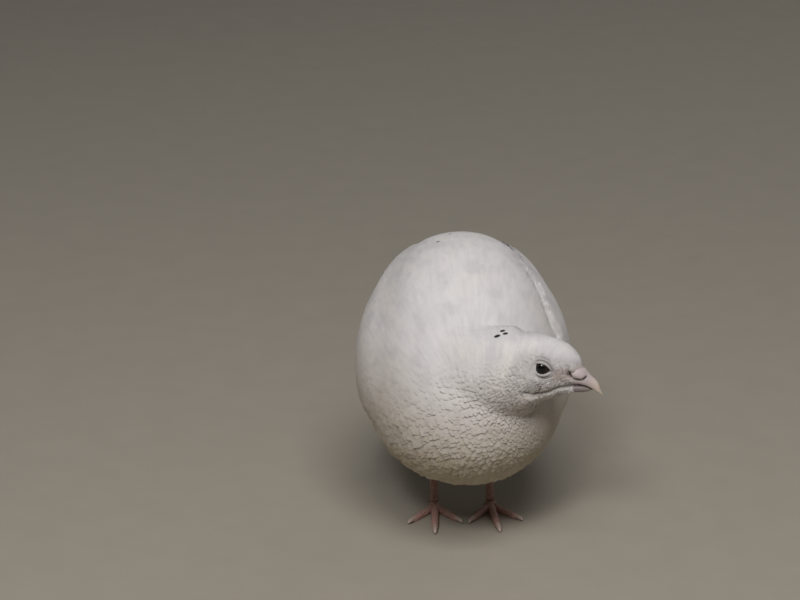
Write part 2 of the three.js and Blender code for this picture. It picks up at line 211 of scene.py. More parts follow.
def drawn_in(t, blunt, least=1e-4):
    """Share of its width that a closed tube keeps towards its ends: the root of 1 - |2t-1|^blunt."""
    return np.sqrt(np.maximum(least, 1 - np.abs(2 * t - 1) ** blunt))


def course(path, t):
    """Places down a smooth path, and the level and the upright axis across it there."""
    ahead = unit(through(path, t + STEP) - through(path, t - STEP))
    level = unit(np.cross(ahead, [0, 0, 1]))
    return through(path, t), level, np.cross(level, ahead)


def tube(path, radius, stations, sides, grow=0.0, tall=1.0, blunt=14):
    """Tube along a path: each ring is the path's point plus the radius there times the sine and
    cosine of the angle, level and upright, drawn in at both ends."""
    t, angle = grid(stations, sides)
    place, level, upright = course(path, t)
    r = ((through(radius, t) + grow) * drawn_in(t, blunt))[..., None]
    return place + r * (level * np.sin(angle)[..., None] + upright * (tall * np.cos(angle))[..., None])


def tail_root(grow):
    """Flattened tube down the tail's Y axis, its half width and height through their stations."""
    t, angle = grid(24, 32)
    end = drawn_in(t, 10)
    x = (through(TAIL_ROOT["wide"], t) + grow) * end * np.sin(angle)
    z = (through(TAIL_ROOT["high"], t) + grow) * end * np.cos(angle)
    y = -TAIL_ROOT["sunk"] + t * (TAIL_ROOT["sunk"] + TAIL_ROOT["long"])
    return np.stack([x, y, z], -1) @ TAIL_TURN.T + TAIL_AT


def wing_swell(hand):
    """Flesh of a folded wing: a low lens on the torso, its middle line, half span and thickness
    through their stations, its height falling as (1 - v^2)^1.5 across and (1 - |2t-1|^3)^1.5 along."""
    t, angle = grid(40, 40)
    edge = drawn_in(t, 3, 1e-3)
    start, stop = WING["along"]
    along = np.radians(start + (stop - start) * t)
    around = np.radians(through(WING["round"], t) + np.sin(angle) * through(WING["span"], t) * edge)
    top = through(WING["thick"], t) * (edge * np.maximum(0, np.cos(angle))) ** 3
    height = np.where(np.cos(angle) > 0, top, -WING["sunk"]) - COAT_DEPTH["body"]
    return on_torso(along, around * hand, height)


def faces_round(stations, sides, loop):
    """Corners of a tube's faces: a quad for each step along and round, and at each end a fan of
    triangles from the ring's last point, or none where the last station loops to the first."""
    ring = np.arange(stations * sides).reshape(stations, sides)
    near, far = ring, np.roll(ring, -1, 0)
    quads = np.stack([near, np.roll(near, -1, 1), np.roll(far, -1, 1), far], -1)
    quads = quads[: stations if loop else stations - 1].reshape(-1, 4)
    fan = np.stack([np.full(sides - 2, sides - 1), ring[0, :-2], ring[0, 1:-1]], 1)
    caps = np.concatenate([fan[:, ::-1], fan + (stations - 1) * sides])
    return quads, caps[: 0 if loop else None]


def inside_out(points, quads):
    """True where the faces of a closed shape look inwards: the triple products of the two halves of
    each face with the point they share, six times the signed volume, sum to less than 0."""
    a, b, c, d = (points[quads[:, k]] for k in range(4))
    return (a * (np.cross(b, c) + np.cross(c, d))).sum() < 0


def knit(name, tubes, smooth_sides=None, loop=False):
    """Mesh object of closed tubes, each an array (station, side, xyz) or many in one (piece, station,
    side, xyz), in millimetres: quads round each, caps at the ends, all turned to face outwards."""
    points, faces, smooth, first = [], [], [], 0
    for shapes in tubes:
        shapes = shapes.reshape(-1, *shapes.shape[-3:])
        count, stations, sides = shapes.shape[:3]
        quads, caps = faces_round(stations, sides, loop)
        one = shapes[0].reshape(-1, 3)
        if inside_out(one - one.mean(0), quads):
            quads, caps = quads[:, ::-1], caps[:, ::-1]
        starts = first + np.arange(count)[:, None, None] * len(one)
        faces += [(starts + quads).reshape(-1, 4), (starts + caps).reshape(-1, 3)]
        shown = np.ones(len(quads), bool)
        if smooth_sides is not None:
            shown = np.isin(np.arange(len(quads)) % sides, smooth_sides)
        smooth += [np.tile(shown, count), np.zeros(len(caps) * count, bool)]
        points.append(shapes.reshape(-1, 3))
        first += len(points[-1])
    return fill_mesh(name, np.concatenate(points), faces, np.concatenate(smooth))


def put_in_scene(name, data):
    """Object of a mesh, a camera or a lamp."""
    made = bpy.data.objects.new(name, data)
    bpy.context.scene.collection.objects.link(made)
    return made


def move_vertices(mesh, points):
    """Lays a mesh's vertices over the solids, in metres, at points in the bird's frame."""
    mesh.vertices.foreach_set("co", ((points + OVER_SOLIDS) * 0.001).astype(np.float32).ravel())
    mesh.update()


def fill_mesh(name, points, faces, smooth):
    """Mesh object from points and arrays of face corners."""
    mesh = bpy.data.meshes.new(name)
    corners = np.concatenate([f.ravel() for f in faces]).astype(np.int32)
    sizes = np.concatenate([np.full(len(f), f.shape[1]) for f in faces])
    mesh.vertices.add(len(points))
    mesh.loops.add(len(corners))
    mesh.loops.foreach_set("vertex_index", corners)
    mesh.polygons.add(len(sizes))
    mesh.polygons.foreach_set("loop_start", (np.cumsum(sizes) - sizes).astype(np.int32))
    mesh.polygons.foreach_set("use_smooth", smooth)
    mesh.update(calc_edges=True)
    move_vertices(mesh, points)
    return put_in_scene(name, mesh)


def read(items, key, width=1, kind=np.int32):
    """One value of each of a mesh's items, or a row of several."""
    values = np.zeros(len(items) * width, kind)
    items.foreach_get(key, values)
    return values.reshape(-1, width) if width > 1 else values


def per_vertex(thing, name, values):
    """Stores one number for each vertex as an attribute that a finish can read."""
    attribute = thing.data.attributes.new(name, "FLOAT", "POINT")
    attribute.data.foreach_set("value", np.asarray(values, np.float32).ravel())


def complete(thing, finish, slot, *solids):
    """Gives a piece its finish and the bird's one body to ride on, and hides the solids that it
    stands for. The slot is not used."""
    thing.data.materials.append(finish.material)
    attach(thing, "root")
    if solids:
        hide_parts(*solids)


class Wire:
    """A node's output that adds, subtracts and multiplies like a number, each step a Math node."""

    def __init__(self, finish, socket):
        self.finish, self.socket = finish, socket

    def __add__(self, other):
        return self.finish.math("ADD", self, other)

    def __sub__(self, other):
        return self.finish.math("SUBTRACT", self, other)

    def __rsub__(self, other):
        return self.finish.math("SUBTRACT", other, self)

    def __mul__(self, other):
        return self.finish.math("MULTIPLY", self, other)

    __radd__, __rmul__ = __add__, __mul__


class Finish:
    """A material's nodes round one shader, and the one method that adds a node."""

    def __init__(self, name, **settings):
        self.material = bpy.data.materials.new(name)
        self.material.use_nodes = True
        self.tree = self.material.node_tree
        self.shader = self.tree.nodes["Principled BSDF"]
        for socket, value in settings.items():
            self.shader.inputs[socket.replace("_", " ").title().replace("Ior", "IOR")].default_value = value

    def add(self, kind, settings=(), sockets=(), out=0):
        """Adds a node, makes its settings, then fills or links its sockets."""
        node = self.tree.nodes.new("ShaderNode" + kind)
        for key, value in dict(settings).items():
            setattr(node, key, value)
        for key, value in dict(sockets).items():
            self.join(node.inputs[key], value)
        return Wire(self, node.outputs[out])

    def join(self, socket, value):
        if isinstance(value, Wire):
            self.tree.links.new(value.socket, socket)
        else:
            socket.default_value = value

    def math(self, operation, *values):
        return self.add("Math", {"operation": operation}, dict(enumerate(values)))

    def vector(self, operation, *values, out=0):
        return self.add("VectorMath", {"operation": operation}, dict(enumerate(values)), out)

    def place(self):
        """The place in the object's own coordinates."""
        return self.add("TexCoord", out=3)

    def attribute(self, name):
        """A number that per_vertex stored."""
        return self.add("Attribute", {"attribute_name": name}, out=2)

    def mix(self, first, second, share):
        """Colour between two, by a share from 0 to 1."""
        return self.add("Mix", {"data_type": "RGBA"}, {0: share, 6: first, 7: second}, 2)

    def between(self, value, low, high):
        """0 to 1 as a value goes from low to high, eased at both ends."""
        limits = {"Value": value, "From Min": low, "From Max": high}
        return self.add("MapRange", {"interpolation_type": "SMOOTHSTEP"}, limits)

    def noise(self, scale, detail=3.0, rough=0.5, at=None):
        """Cloudy noise at the object's own place, or at the place that is given."""
        sockets = {"Scale": scale, "Detail": detail, "Roughness": rough}
        return self.add("TexNoise", {}, {"Vector": self.place() if at is None else at, **sockets})

    def cells(self, scale, wide):
        """0 on the lines between small cells, rising to 1 over a share of the way to their middles."""
        sockets = {"Vector": self.place(), "Scale": scale}
        return self.between(self.add("TexVoronoi", {"feature": "DISTANCE_TO_EDGE"}, sockets), 0, wide)

    def bump(self, height, strength, distance, under=None):
        """Bump from a height, over another bump where there is one."""
        sockets = {"Height": height, "Strength": strength, "Distance": distance}
        if under is not None:
            sockets["Normal"] = under
        return self.add("Bump", {}, sockets)

    def dress(self, colour=None, roughness=None, normal=None):
        """Links what varies over the surface to the shader."""
        for key, value in {"Base Color": colour, "Roughness": roughness, "Normal": normal}.items():
            if value is not None:
                self.join(self.shader.inputs[key], value)


eye_low, eye_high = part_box("eye_right")
EYE = {"radius": 3.5, "side": 5.9}
OVER_SOLIDS = np.array((eye_low + eye_high) / 2) * 1000 - in_head([0, -EYE["side"], 0])
CROWN_FLECKS = [
    ([8.9, -51.5, 94.2], [1.3, 0.8, 2]),
    ([11.2, -49.1, 95.1], [1.1, 0.9, 2]),
    ([12.1, -51.2, 94.8], [1.1, 0.75, 2]),
]
BACK_SPECKS = [([-10.2, 2.3, 114.7], [0.8, 1, 2]), ([-4.8, 9.9, 114.9], [0.7, 0.9, 2])]
WHITE = {
    "cool": (0.77, 0.745, 0.76, 1), "warm": (0.80, 0.755, 0.71, 1), "streak": (0.64, 0.61, 0.62, 1),
    # The grey for the covered part of each vane, on the next line, is partly its own grey base and partly
    # painted shade.
    # The yellowish brown for the bottom, on the next line, is partly soiling and partly painted shade.
    "soiled_and_shaded": (0.39, 0.32, 0.20, 1), "covered_grey_and_shade": (0.70, 0.665, 0.64, 1), "bare": (0.66, 0.56, 0.53, 1),
    # The near black for creases, on the next line, is painted shade.
    "crease_shade": (0.13, 0.10, 0.08, 1), "fleck": (0.012, 0.011, 0.012, 1), "speck": (0.3, 0.28, 0.28, 1),
}
# Heights over which the bottom's yellowish brown, partly soiling and partly painted shade, fades out.
SOILED_AND_SHADED = (0.03, 0.09)
STREAKS = {"axis": 0.058, "round": 22, "along": 130, "down": 60}


def white_plumage(finish, shade=None):
    """Colour of the white plumage by place: cool and warm white in soft clouds, brushed lengthwise
    with grey, darker yellowish brown towards the bottom, partly soiling and partly painted shade,
    greyer where a vane is covered, partly its own grey base and partly painted shade, paler skin
    colour on the lores, painted shade in the creases, a few black flecks on the hind crown and two
    grey specks on the back."""
    place = finish.place()
    cloud = finish.between(finish.noise(38), 0.35, 0.68)
    colour = finish.mix(WHITE["cool"], WHITE["warm"], cloud)
    x, y, z = (finish.add("SeparateXYZ", {}, {0: place}, i) for i in range(3))
    round_back = finish.math("ARCTAN2", x, z - STREAKS["axis"]) * STREAKS["round"]
    brushed = finish.add("CombineXYZ", {}, {0: round_back, 1: y * STREAKS["along"], 2: z * STREAKS["down"]})
    streak = finish.between(finish.noise(1, 4, 0.6, brushed), 0.35, 0.75)
    streak = streak + finish.between(finish.noise(120, 2), 0.4, 0.75)
    colour = finish.mix(colour, WHITE["streak"], streak * 0.7)
    # Darker and yellower towards the bottom: partly soiling, partly painted shade.
    colour = finish.mix(WHITE["soiled_and_shaded"], colour, finish.between(z, *SOILED_AND_SHADED))
    # Greyer where a vane is covered: partly its own grey base, partly painted shade under the feathers
    # above.
    if shade is not None:
        colour = finish.mix(WHITE["covered_grey_and_shade"], colour, shade)
    colour = finish.mix(colour, WHITE["bare"], finish.attribute("bare") * 0.8)
    # Painted shade in the crease of the mouth, the nostril's slit and the wing's fold.
    colour = finish.mix(colour, WHITE["crease_shade"], finish.attribute("crease_shade") * 0.5)
    for marks, tint in ((CROWN_FLECKS, "fleck"), (BACK_SPECKS, "speck")):
        for centre, size in marks:
            apart = finish.vector("SUBTRACT", place, tuple((np.array(centre) + OVER_SOLIDS) * 0.001))
            apart = finish.vector("MULTIPLY", apart, tuple(1000 / np.array(size)))
            far = finish.vector("LENGTH", apart, out=1)
            colour = finish.mix(WHITE[tint], colour, finish.between(far, 0.75, 1.15))
    return colour


def fused(name, shapes, voxel, rounds):
    """One closed sheet round all the shapes: a voxel remesh in millimetres, then smoothed."""
    rough = knit(name + "_rough", shapes)
    remesh = rough.modifiers.new("fuse", "REMESH")
    remesh.mode = "VOXEL"
    remesh.voxel_size = voxel * 0.001
    ease = rough.modifiers.new("ease", "SMOOTH")
    ease.factor = 0.5
    ease.iterations = rounds
    mesh = bpy.data.meshes.new_from_object(rough.evaluated_get(bpy.context.evaluated_depsgraph_get()))
    mesh.name = name
    bpy.data.objects.remove(rough)
    mesh.polygons.foreach_set("use_smooth", np.ones(len(mesh.polygons), bool))
    return put_in_scene(name, mesh)


def skin_finish():
    """Thin pale skin, finely creased; where feathers cover it, it has their white."""
    finish = Finish("thin_skin", roughness=0.62)
    colour = finish.mix(white_plumage(finish), (0.55, 0.49, 0.46, 1), finish.noise(900, 4) * 0.25)
    finish.dress(colour, normal=finish.bump(finish.cells(1400, 0.25), 0.6, 0.0002))
    return finish


def vertices_of(thing):
    """Places and normals of a mesh's vertices, in millimetres in the bird's frame."""
    place, normal = (read(thing.data.vertices, key, 3, np.float32) for key in ("co", "normal"))
    return place * 1000.0 - OVER_SOLIDS, normal.astype(float)


def eased(thing, points, share, rounds):
    """Points drawn again and again to the middle of their neighbours, each by its own share."""
    a, b = read(thing.data.edges, "vertices", 2).T
    count = np.bincount(a, minlength=len(points)) + np.bincount(b, minlength=len(points))
    for _ in range(rounds):
        sums = [np.bincount(a, p[b], len(p)) + np.bincount(b, p[a], len(p)) for p in points.T]
        points = points + (np.stack(sums, 1) / count[:, None] - points) * share[:, None]
    return points


def far_from_gape(points):
    """Distance, seen from the side, to the crease that runs back from the corner of the mouth. On
    the left, the inside of the neck's bend, the crease ends sooner."""
    x, y, z, far = from_head(points)
    line = through(GAPE, np.linspace(0, 1, 60))
    near = length(np.stack([x, z], 1)[:, None] - line[None]).min(1)
    near = near + 0.6 * np.maximum(0, CREASE["left_end"] - x) * (y > 0)
    return near + FAR_AWAY * ((np.abs(y) < FACE["middle_strip"]) | (far > FACE["reach"]))


def wing_fold(points):
    """Distance to the fold where the left wing's bend stands off the shoulder, and how far a point
    lies on the wing's side of it, behind and below."""
    line = through(FOLD["path"], np.linspace(0, 1, 60))
    far, behind = np.full(len(points), FAR_AWAY), np.zeros(len(points))
    close = length(points - line[30]) < 40
    apart = points[close][:, None] - line[None]
    apart = apart[np.arange(len(apart)), length(apart).argmin(1)]
    far[close], behind[close] = length(apart), apart @ FOLD["behind"]
    return far, behind


def patch_place(patch, x, z):
    """Where a point lies round an ellipse on the side of the head: 1 is its edge, and how far it is
    turned to the front and up, from the ellipse's own two axes."""
    tilt = np.radians(patch["tilt"])
    dx, dz = x - patch["at"][0], z - patch["at"][1]
    long = (dx * np.cos(tilt) + dz * np.sin(tilt)) / patch["long"]
    high = (-dx * np.sin(tilt) + dz * np.cos(tilt)) / patch["high"]
    return np.hypot(long, high), long, high


def nostril_slit(x, z):
    """1 on the curved slit that follows the lower edge of the flap, fading at its two ends."""
    edge, long, up = patch_place(FLAP, x, z)
    return bell(edge - 1.1, 0.16) * smooth_step(0.2 * long - up, -0.1, 0.4)


def face_marks(thing, points):
    """Stores how bare the face is at each point, on the lores and round the flap of the nostril, and
    how near the point lies to the crease of the mouth, the nostril's slit or the wing's fold, which
    the finish darkens with painted shade."""
    x, y, z, far = from_head(points)
    near_head = (far < FACE["reach"]) * (x > 2)
    edges = [patch_place(patch, x, z)[0] for patch in (LORES, FLAP)]
    per_vertex(thing, "bare", (1 - smooth_step(np.minimum(*edges), 0.75, 1.3)) * near_head)
    slit = nostril_slit(x, z) * near_head * (np.abs(y) > FACE["middle_strip"])
    folds = bell(far_from_gape(points), 0.5) + 0.45 * bell(wing_fold(points)[0], 0.8)
    per_vertex(thing, "crease_shade", np.maximum(slit, folds))


def sunk_by(points, x, y, z):
    """How far the skin sinks at points and at their places in the head: a hollow round each eye, a
    recess under each nostril's flap, the crease of the mouth, and a step down behind the wing's
    fold, with a low welt before it. Each fades by a smooth step or a bell of the distance."""
    edge, _, up = patch_place(FLAP, x, z)
    hollow = 1 - smooth_step(np.hypot(x, z), EYE_HOLLOW["flat"], EYE_HOLLOW["rim"])
    recess = (1 - smooth_step(edge, 1.05, 1.4)) * smooth_step(-up, 0, 0.5)
    sunk = EYE_HOLLOW["deep"] * hollow * (np.abs(y) > EYE_HOLLOW["beyond"])
    sunk = sunk + FLAP["sunk"] * recess * (np.abs(y) > FACE["middle_strip"])
    sunk = sunk * (np.abs(y) < FACE["half"]) + CREASE["deep"] * bell(far_from_gape(points), CREASE["half"])
    far, behind = wing_fold(points)
    step = bell(behind + 0.7, 0.9) - smooth_step(behind, -0.6, 0.6)
    return sunk + FOLD["high"] * step * bell(far, FOLD["reach"])


along, around = grid(61, 72)
flesh_shapes = [
    torso_point(along * np.pi, around, -COAT_DEPTH["body"]),
    tube(NECK_PATH, NECK_RADIUS, 50, 56, -COAT_DEPTH["neck"], NECK_TALL),
    head_point(along * np.pi, around, -COAT_DEPTH["head"]),
    tail_root(-COAT_DEPTH["rump"]),
    tube(in_head(CHIN["path"]), CHIN["radius"], 30, 32, tall=CHIN["tall"]),
    tube(in_head(BROW["path"]), BROW["radius"], 30, 32),
]
for hand in SIDES.values():
    path = np.array(THIGH["path"]) * [hand, 1, 1]
    flesh_shapes += [tube(path, THIGH["radius"], 24, 32, -COAT_DEPTH["thigh"]), wing_swell(hand)]
skin = fused("skin", flesh_shapes, 0.8, 15)
skin_points = vertices_of(skin)[0]
x, y, z, _ = from_head(skin_points)
from_cheek = length((np.stack([x, y, z], 1) - SMOOTH_CHEEK["at"]) / SMOOTH_CHEEK["size"])
share = (1 - smooth_step(from_cheek, 0.6, 1)) * (y < -3) * SMOOTH_CHEEK["share"]
move_vertices(skin.data, eased(skin, skin_points, share, SMOOTH_CHEEK["rounds"]))
skin_points, skin_normals = vertices_of(skin)
move_vertices(skin.data, skin_points - skin_normals * sunk_by(skin_points, x, y, z)[:, None])
skin_points, skin_normals = vertices_of(skin)
face_marks(skin, skin_points)
complete(skin, skin_finish(), "plumage", "torso", "neck", "head", "thigh_left", "thigh_right")

# Eyes and lids
# Each eye is a dark, wet ball with a slightly raised cornea, sunk in the side of the head, in a
# bare pale rim of two thin lids that leave an almond opening.
CORNEA = {"bulge": 0.16, "spread": 0.7}
LID = {"long": 2.75, "high": 2.1, "wide": 2.1, "proud": 0.42, "outer": 7.9, "fold": 0.66}


def beside(hand, x, out, z):
    """Points beside the head: x to the bill, out from the middle line to one side, z up."""
    return in_head(np.stack([x + 0 * z, hand * (out + 0 * x), z + 0 * x], -1))


def eye_ball(hand):
    """Ball round the eye's centre, its radius raised near the axis by a bell of the angle from it."""
    t, angle = grid(48, 48)
    off = 0.012 + t * (np.pi - 0.024)
    radius = EYE["radius"] - CORNEA["bulge"] + CORNEA["bulge"] * bell(off, CORNEA["spread"])
    x, z = radius * np.sin(off) * np.cos(angle), radius * np.sin(off) * np.sin(angle)
    return beside(hand, x, EYE["side"] + radius * np.cos(off), z), np.degrees(off)


def lid_rim(hand):
    """Ring round the opening: an ellipse drawn to a point in front, and across it a rounded edge
    that stands a little off the eye and slopes out under the feathers, with one deep fold."""
    angle = np.linspace(0, 2 * np.pi, 96, endpoint=False)[:, None]
    over = np.linspace(0, 1, 26)[None]
    corner = 0.5 * np.maximum(0, np.cos(angle)) ** 6
    x = (LID["long"] + corner) * np.cos(angle) - 0.1
    z = LID["high"] * np.sin(angle) - 0.35 * corner
    far = np.hypot(x, z)
    ball = np.sqrt(np.maximum(0.5, EYE["radius"] ** 2 - far**2)) + EYE["side"]
    fold = bell(over - LID["fold"], 0.12) * np.abs(np.sin(angle)) ** 0.5
    edge = np.sin(np.minimum(1, over * 5) * np.pi / 2)
    out = ball - 0.15 + (LID["proud"] + 0.15) * edge
    out = out + (LID["outer"] - out) * over**1.6 - 0.28 * fold + 0.05 * np.sin(over * 9 * np.pi)
    reach = 1 + over * LID["wide"] / far
    top = beside(hand, x * reach, out, z * reach)
    under = beside(hand, x * reach, out - 0.5 - 0.3 * over, z * reach)
    return np.concatenate([top, under[:, ::-1]], 1), np.concatenate([fold, fold[:, ::-1]], 1)


gloss = {"roughness": 0.05, "specular_ior_level": 0.3, "coat_weight": 0.25, "coat_roughness": 0.02}
eye_finish = Finish("wet_eye", **gloss)
turned = eye_finish.attribute("off_axis")
iris = eye_finish.between(turned, 26, 31) * (1 - eye_finish.between(turned, 46, 52))
brown = eye_finish.mix((0.008, 0.005, 0.004, 1), (0.026, 0.015, 0.009, 1), eye_finish.noise(2200))
eye_finish.dress(eye_finish.mix((0.003, 0.003, 0.003, 1), brown, iris))
lid_finish = Finish("lid_skin", roughness=0.5)
pale = lid_finish.mix((0.42, 0.39, 0.38, 1), (0.55, 0.52, 0.51, 1), lid_finish.noise(1500))
# The deep fold in each lid is darkened with painted shade.
pale = lid_finish.mix(pale, (0.10, 0.085, 0.08, 1), lid_finish.attribute("fold") * 0.8)
lid_finish.dress(pale, normal=lid_finish.bump(lid_finish.cells(2400, 0.3), 0.5, 0.00012))
for side, hand in SIDES.items():
    ball, off_axis = eye_ball(hand)
    eye = knit("eye_ball_" + side, [ball])
    per_vertex(eye, "off_axis", off_axis)
    complete(eye, eye_finish, "eye", "eye_" + side)
    rim, fold = lid_rim(hand)
    lids = knit("lids_" + side, [rim], loop=True)
    per_vertex(lids, "fold", fold)
    complete(lids, lid_finish, "skin")

# Bill
# A short, stout, pinkish horn bill. The upper half hooks down a little past the lower, and carries
# over each nostril a soft flap whose lower edge leaves a curved slit, darkened with painted shade.
# The lower half, under the upper's overhang, is darkened with painted shade as well.
BILL = {
    "upper": {
        "from": 6, "to": 25.1, "shaded": 0,
        "top": [3, 3.1, 3.1, 1.9, -0.3, -2.2, -6.2],
        "bottom": [-6.2, -6.3, -5.6, -4.8, -4.9, -5.8, -7],
        "wide": [4.4, 4.2, 3.8, 3.1, 2.2, 1.4, 0.5],
    },
    "lower": {
        "from": 6, "to": 20.8, "shaded": 0.65,
        "top": [-6.4, -6.5, -5.9, -5.1, -4.9, -5.4],
        "bottom": [-9.6, -9.4, -9, -8.5, -7.5, -6.2],
        "wide": [4, 3.9, 3.5, 2.9, 2.2, 1],
    },
}
HORN_FROM = 13


def bill_half(name):
    """Half of the bill: rings between its top and bottom lines, flat along the mouth and arched away
    from it, rounded in at both ends; the upper half's sides swell at the flap and sink at its slit."""
    half = BILL[name]
    t, angle = grid(100, 120)
    x = half["from"] + (half["to"] - half["from"]) * t
    end = np.minimum(1, np.minimum(np.sqrt(t * 12 + 1e-4), np.sqrt((1 - t) * 9 + 1e-3)))
    high, side = np.cos(angle), np.sin(angle)
    arch = high if name == "upper" else -high
    reach = np.where(arch > 0, arch, -np.sqrt(np.abs(arch)))
    reach = (reach if name == "upper" else -reach) * end
    top, bottom = through(half["top"], t), through(half["bottom"], t)
    z = bottom + (top - bottom) * (reach + 1) / 2
    wide = through(half["wide"], t) * end * np.sign(side) * np.abs(side) ** 1.08
    slit = 0 * x
    if name == "upper":
        edge = patch_place(FLAP, x, z)[0]
        swell = FLAP["swell"] * np.maximum(0, 1 - edge**2) ** 0.6
        slit = nostril_slit(x, z) * smooth_step(z, -4.6, -3.9)
        wide = wide + np.sign(side) * (swell - FLAP["slit"] * slit) * smooth_step(np.abs(side), 0.3, 0.6)
    return in_head(np.stack([x, wide, z], -1)), slit, x


horn = Finish("bill_horn", roughness=0.42)
base = horn.mix((0.54, 0.445, 0.445, 1), (0.63, 0.54, 0.54, 1), horn.noise(500, 4))
colour = horn.mix(base, (0.68, 0.57, 0.46, 1), horn.between(horn.attribute("to_tip"), 0.35, 0.95))
# Painted shade: near black in the nostril's slit, and a share of it over the whole lower half, under the
# overhang of the upper.
colour = horn.mix(colour, (0.03, 0.02, 0.018, 1), horn.attribute("painted_shade"))
sockets = {"Vector": horn.place(), "Scale": 500, "Distortion": 3}
growth = horn.add("TexWave", {"bands_direction": "DIAGONAL"}, sockets)
fine = horn.bump(horn.noise(1800, 4), 0.25, 0.0002)
horn.dress(colour, 0.38 + 0.16 * horn.noise(700), horn.bump(growth, 0.12, 0.0002, fine))
for name, half in BILL.items():
    points, slit, x = bill_half(name)
    bill = knit("bill_" + name + "_half", [points])
    # The slit and the lower half are darkened with painted shade.
    per_vertex(bill, "painted_shade", slit + half["shaded"])
    per_vertex(bill, "to_tip", (x - HORN_FROM) / (half["to"] - HORN_FROM))
    complete(bill, horn, "horn", "bill_" + name)

# Body feathers
# The white plumage: thin soft vanes with frayed tips, rooted in the skin and lying back from the
# bill and the base of the neck, each over the next. They are smallest on the face, longest on the
# back and flanks, and looser on the cheeks, breast and belly than on the back and crown.
BILL_ROOT = in_head([15, 0, -1])
NECK_ROOT = np.array([12, -46, 78])
FLOW_TO = 130
FEATHER_LONG = [1.4, 2.8, 4.2, 6.6, 9.2, 11.5, 13.5, 15, 16, 17]
SCATTER = {"count": 300000, "least_gap": 0.5, "gap": 0.15}
FAN = {"columns": 7, "down": [0, 0.3, 0.58, 0.82, 1], "wide": [0.3, 0.82, 1, 1, 0.96], "round": 0.3}
SMALL_FAN = {"columns": 5, "down": [0, 0.4, 0.75, 1], "wide": [0.4, 1, 1, 0.9], "round": 0.3}
SMALL_LONG = 2.8
PATCH = 0.003
STATIONS = np.linspace(0, 1, 80)
BARE_FROM = {"front": [15.4, 14.6, 12.6, 12.4, 15.3], "low": -9, "high": 3}
POLE = {"turned": 0.84, "rump": 40, "thigh": 27}
COVER = {
    "along": (66, 132), "round": [74, 70, 63, 55], "span": [24, 29, 31, 30], "fade": (-16, 2),
    "front": 14, "behind": (44, 62), "high": 1.7, "climb": (80, 100), "bare_from": 106,
}
THIGH_FEATHERS = {"reach": 13, "below": 46}
BACK_TO, SHOULDER_TO, FLANK_TO = 50, 85, 125

skin.data.calc_loop_triangles()
skin_faces = read(skin.data.loop_triangles, "vertices", 3)
skin_tree = BVHTree.FromPolygons(skin_points.tolist(), skin_faces.tolist())


def settle(points):
    """Nearest places on the skin, and the skin's normals there."""
    found = [skin_tree.find_nearest(p) for p in points.tolist()]
    place = np.array([f[0][:] for f in found])
    return place, unit(skin_normals[skin_faces[[f[2] for f in found]]].mean(1))


def torso_place(points):
    """Angles of points on the torso's egg, and how far they stand over it: the egg's formula solved
    for along from y, then for around from the two distances from its middle line."""
    p = (points - TORSO_AT) @ TORSO_TURN
    along = np.arccos(np.clip(-p[:, 1] / TORSO["half"], -0.999, 0.999))
    t = along / np.pi
    x, z = p[:, 0], p[:, 2] - through(TORSO["middle"], t)
    reach = np.where(z > 0, through(TORSO["rise"], t), through(TORSO["drop"], t)) * np.sin(along)
    wide = through(TORSO["wide"], t) * np.sin(along)
    around = np.arctan2(x / wide, z / reach)
    size = np.hypot(x / wide, z / reach)
    return along, around, (size - 1) * np.hypot(x, z) / size


def lie(points, normals):
    """Direction the feathers point: away from the bill on head and neck, away from the neck's base
    on the body, eased over the join, and laid flat against the skin."""
    on_body = 1 - smooth_step(torso_place(points)[2], 1.5, 8)[:, None]
    flow = unit(points - BILL_ROOT) * (1 - on_body) + unit(points - NECK_ROOT) * on_body
    flow = flow - normals * (flow * normals).sum(1)[:, None]
    return unit(flow)


def spun(vectors, normals, angle):
    """The vectors turned about their normals by an angle."""
    return vectors * np.cos(angle)[:, None] + np.cross(normals, vectors) * np.sin(angle)[:, None]


def scattered(count, seed):
    """Random points spread evenly over the skin by area, in random order, with their normals."""
    draw = np.random.default_rng(seed)
    a, b, c = (skin_points[skin_faces[:, k]] for k in range(3))
    area = length(np.cross(b - a, c - a))
    face = draw.choice(len(area), count, p=area / area.sum())
    u, v = draw.random((2, count))
    u, v = np.where(u + v > 1, 1 - u, u), np.where(u + v > 1, 1 - v, v)
    points = a[face] + (b - a)[face] * u[:, None] + (c - a)[face] * v[:, None]
    return points, unit(skin_normals[skin_faces[face]].mean(1))


def spaced(points, gap):
    """Points left when each one that is kept, in turn, clears its own gap round it."""
    tree = KDTree(len(points))
    for i, p in enumerate(points.tolist()):
        tree.insert(p, i)
    tree.balance()
    free = np.ones(len(points), bool)
    kept = []
    for i in range(len(points)):
        if free[i]:
            kept.append(i)
            free[[k for _, k, _ in tree.find_range(points[i], gap[i])]] = False
    return np.array(kept)


def wing_cover(points):
    """1 where the closed wing's feathers lie on the torso, easing to 0 over their edges."""
    along, around, _ = torso_place(points)
    along, around = np.degrees(along), np.abs(np.degrees(around))
    first, last = COVER["along"]
    t = (along - first) / (last - first)
    inner, outer = through(COVER["span"], t)[None] + np.array(COVER["fade"])[:, None]
    across = 1 - smooth_step(np.abs(around - through(COVER["round"], t)), inner, outer)
    behind = smooth_step(points[:, 1], *COVER["behind"])
    return across * smooth_step(along, first, first + COVER["front"]) * (1 - behind)


def looseness(points, normals):
    """0 where the plumage lies smooth, on back, crown and wings, and up to 1 on cheek, neck, breast
    and belly, by how far the skin there faces forward and down."""
    faced = smooth_step(normals @ unit(np.array([-0.1, -0.75, -0.65])), 0.05, 0.8)
    x, _, z, far = from_head(points)
    cheek = bell(x + 7, 8) * bell(z + 3, 8) * (1 - smooth_step(far, 14, 19))
    return np.maximum(faced, cheek) * (1 - wing_cover(points))


